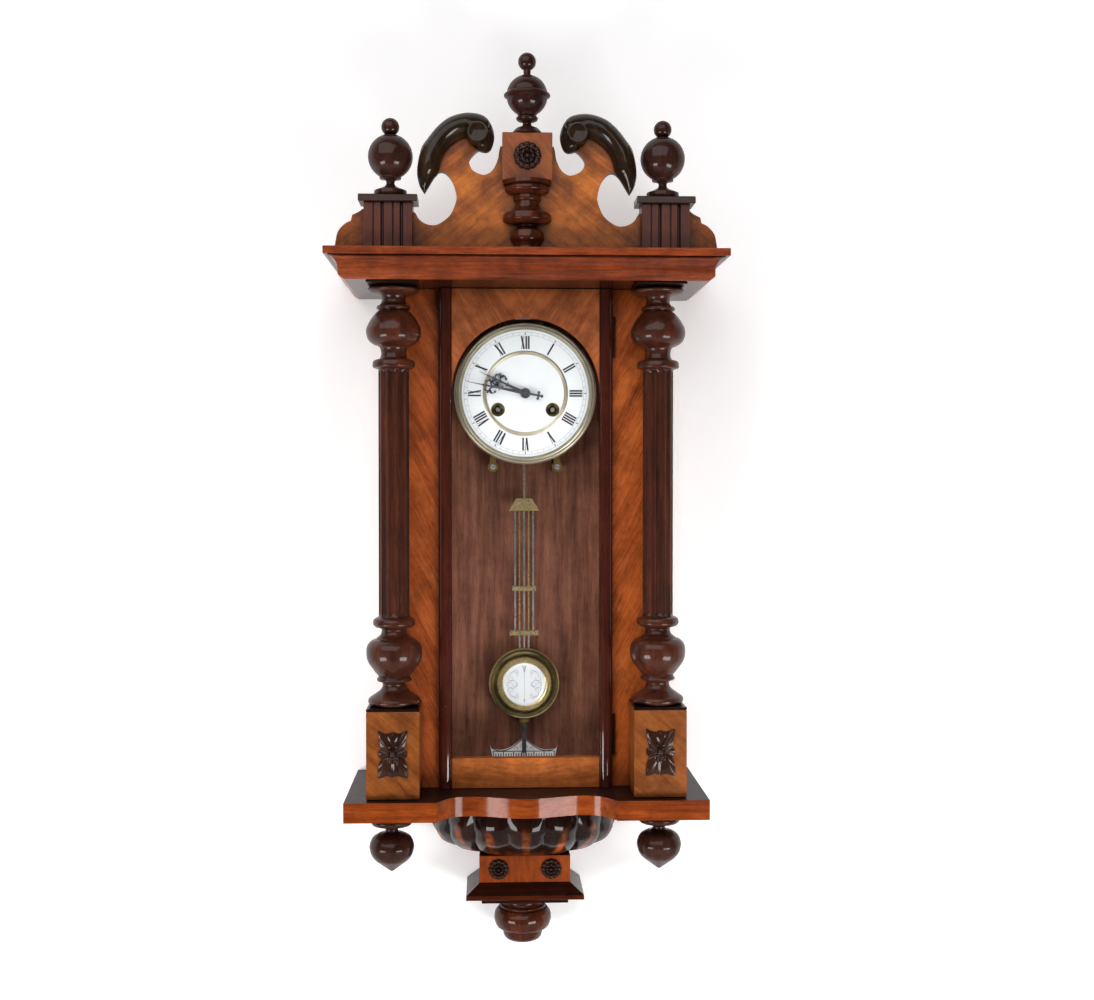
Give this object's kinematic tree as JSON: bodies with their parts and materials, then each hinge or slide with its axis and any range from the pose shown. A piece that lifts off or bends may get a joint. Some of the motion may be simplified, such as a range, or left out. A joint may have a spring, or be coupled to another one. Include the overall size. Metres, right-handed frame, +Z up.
{
  "type": "vienna regulator wall clock",
  "caption": "Walnut Vienna regulator wall clock with turned columns, scrolled pediment, glazed door, enamel dial, visible wheel train, gridiron pendulum and coil gong strike",
  "frame": {"origin": "on the wall plane, where the axis of the hands meets the wall", "axes": "+X right as seen from the front, +Y into the wall, +Z up"},
  "size_m": [0.4144, 0.1866, 0.9595],
  "materials": {
    "veneer": "figured walnut veneer under shellac polish",
    "moulding_walnut": "red-brown walnut, polished",
    "dark_walnut": "dark stained walnut, high polish",
    "golden_veneer": "golden walnut veneer, polished",
    "olive_walnut": "brown-black moulding, satin",
    "brass": "tarnished and lightly polished",
    "steel": "plain bright steel",
    "black_steel": "blued to near black",
    "enamel": "white fired enamel, glossy",
    "glass": "clear old window glass"
  },
  "bodies": {
    "case": {"back_board": "veneer", "hanging_plate": "steel", "left_case_side": "veneer", "right_case_side": "veneer", "left_side_glass": "glass", "right_side_glass": "glass", "cornice": "moulding_walnut", "base_plate": "moulding_walnut", "left_pedestal": "veneer", "right_pedestal": "veneer", "left_column": "dark_walnut", "right_column": "dark_walnut", "pediment_board": "golden_veneer", "left_scroll": "olive_walnut", "right_scroll": "olive_walnut", "left_block": "moulding_walnut", "right_block": "moulding_walnut", "centre_block": "moulding_walnut", "left_finial": "dark_walnut", "right_finial": "dark_walnut", "centre_finial": "dark_walnut", "gadrooned_bowl": "dark_walnut", "frieze_box": "moulding_walnut", "bracket_moulding": "dark_walnut", "bottom_finial": "dark_walnut", "left_drop": "dark_walnut", "right_drop": "dark_walnut", "upper_hinge_leaf": "brass", "lower_hinge_leaf": "brass", "dial_plate": "enamel", "dial_bezel": "brass", "front_plate": "brass", "back_plate": "brass", "movement_bracket": "black_steel", "left_foot_screw": "brass", "right_foot_screw": "brass", "gong": "steel", "beat_scale": "enamel"},
    "door": {"door_frame": "dark_walnut", "door_glass": "glass", "upper_door_leaf": "brass", "lower_door_leaf": "brass"},
    "latch": {"door_latch": "brass"},
    "minute_arbor": {"centre_wheel": "brass", "minute_hand": "black_steel"},
    "hour_pipe": {"hour_wheel": "brass", "hour_hand": "black_steel"},
    "motion_wheel": {"minute_wheel": "brass"},
    "third_arbor": {"third_wheel": "brass"},
    "escape_arbor": {"escape_wheel": "brass"},
    "going_barrel": {"time_barrel": "brass"},
    "striking_barrel": {"strike_barrel": "brass"},
    "strike_arbor": {"strike_wheel": "brass"},
    "going_winder": {"time_winding_arbor": "steel"},
    "striking_winder": {"strike_winding_arbor": "steel"},
    "pendulum": {"pendulum_rod": "steel", "pendulum_bob": "brass"},
    "pallets": {"anchor": "steel"},
    "nut": {"rating_nut": "brass"},
    "strike_hammer": {"hammer": "brass"}
  },
  "joints": [
    {"name": "door_hinge", "type": "hinge", "parent": "case", "child": "door", "pos_m": [0.0957, -0.0986, -0.155], "axis": [0, 0, 1], "range_deg": [0, 95]},
    {"name": "latch_turn", "type": "hinge", "parent": "door", "child": "latch", "pos_m": [-0.0866, -0.0957, -0.3375], "axis": [0, 1, 0], "range_deg": [0, 90]},
    {"name": "minute_turn", "type": "hinge", "parent": "case", "child": "minute_arbor", "pos_m": [0, -0.055, 0], "axis": [0, 1, 0], "continuous": true},
    {"name": "hour_turn", "type": "hinge", "parent": "case", "child": "hour_pipe", "pos_m": [0, -0.08, 0], "axis": [0, 1, 0], "continuous": true},
    {"name": "motion_wheel_turn", "type": "hinge", "parent": "case", "child": "motion_wheel", "pos_m": [0, -0.076, -0.018], "axis": [0, 1, 0], "continuous": true},
    {"name": "third_turn", "type": "hinge", "parent": "case", "child": "third_arbor", "pos_m": [-0.02214, -0.055, 0.01722], "axis": [0, 1, 0], "continuous": true},
    {"name": "escape_turn", "type": "hinge", "parent": "case", "child": "escape_arbor", "pos_m": [0, -0.055, 0.0316], "axis": [0, 1, 0], "continuous": true},
    {"name": "going_barrel_turn", "type": "hinge", "parent": "case", "child": "going_barrel", "pos_m": [-0.0297, -0.055, -0.0178], "axis": [0, 1, 0], "continuous": true},
    {"name": "striking_barrel_turn", "type": "hinge", "parent": "case", "child": "striking_barrel", "pos_m": [0.0297, -0.055, -0.0178], "axis": [0, 1, 0], "continuous": true},
    {"name": "strike_wheel_turn", "type": "hinge", "parent": "case", "child": "strike_arbor", "pos_m": [0.0297, -0.055, 0.0168], "axis": [0, 1, 0], "continuous": true},
    {"name": "going_winding", "type": "hinge", "parent": "case", "child": "going_winder", "pos_m": [-0.0297, -0.06, -0.0178], "axis": [0, 1, 0], "continuous": true},
    {"name": "striking_winding", "type": "hinge", "parent": "case", "child": "striking_winder", "pos_m": [0.0297, -0.06, -0.0178], "axis": [0, 1, 0], "continuous": true},
    {"name": "pendulum_swing", "type": "hinge", "parent": "case", "child": "pendulum", "pos_m": [0, -0.03, 0.05], "axis": [0, 1, 0], "range_deg": [-2.5, 2.5]},
    {"name": "pallet_swing", "type": "hinge", "parent": "case", "child": "pallets", "pos_m": [0, -0.05, 0.05], "axis": [0, 1, 0], "range_deg": [-2.5, 2.5]},
    {"name": "nut_turn", "type": "hinge", "parent": "pendulum", "child": "nut", "pos_m": [0, -0.03, -0.3666], "axis": [0, 0, 1], "continuous": true},
    {"name": "hammer_swing", "type": "hinge", "parent": "case", "child": "strike_hammer", "pos_m": [0.04, -0.05, 0.044], "axis": [0, 1, 0], "range_deg": [-12, 0]}
  ],
  "couplings": [
    {"joint": "hour_turn", "follows": "minute_turn", "ratio": 0.083333},
    {"joint": "motion_wheel_turn", "follows": "minute_turn", "ratio": -0.33333},
    {"joint": "third_turn", "follows": "minute_turn", "ratio": -10},
    {"joint": "escape_turn", "follows": "minute_turn", "ratio": 100},
    {"joint": "going_barrel_turn", "follows": "minute_turn", "ratio": -0.16667},
    {"joint": "strike_wheel_turn", "follows": "striking_barrel_turn", "ratio": -6},
    {"joint": "pallet_swing", "follows": "pendulum_swing", "ratio": 1}
  ]
}
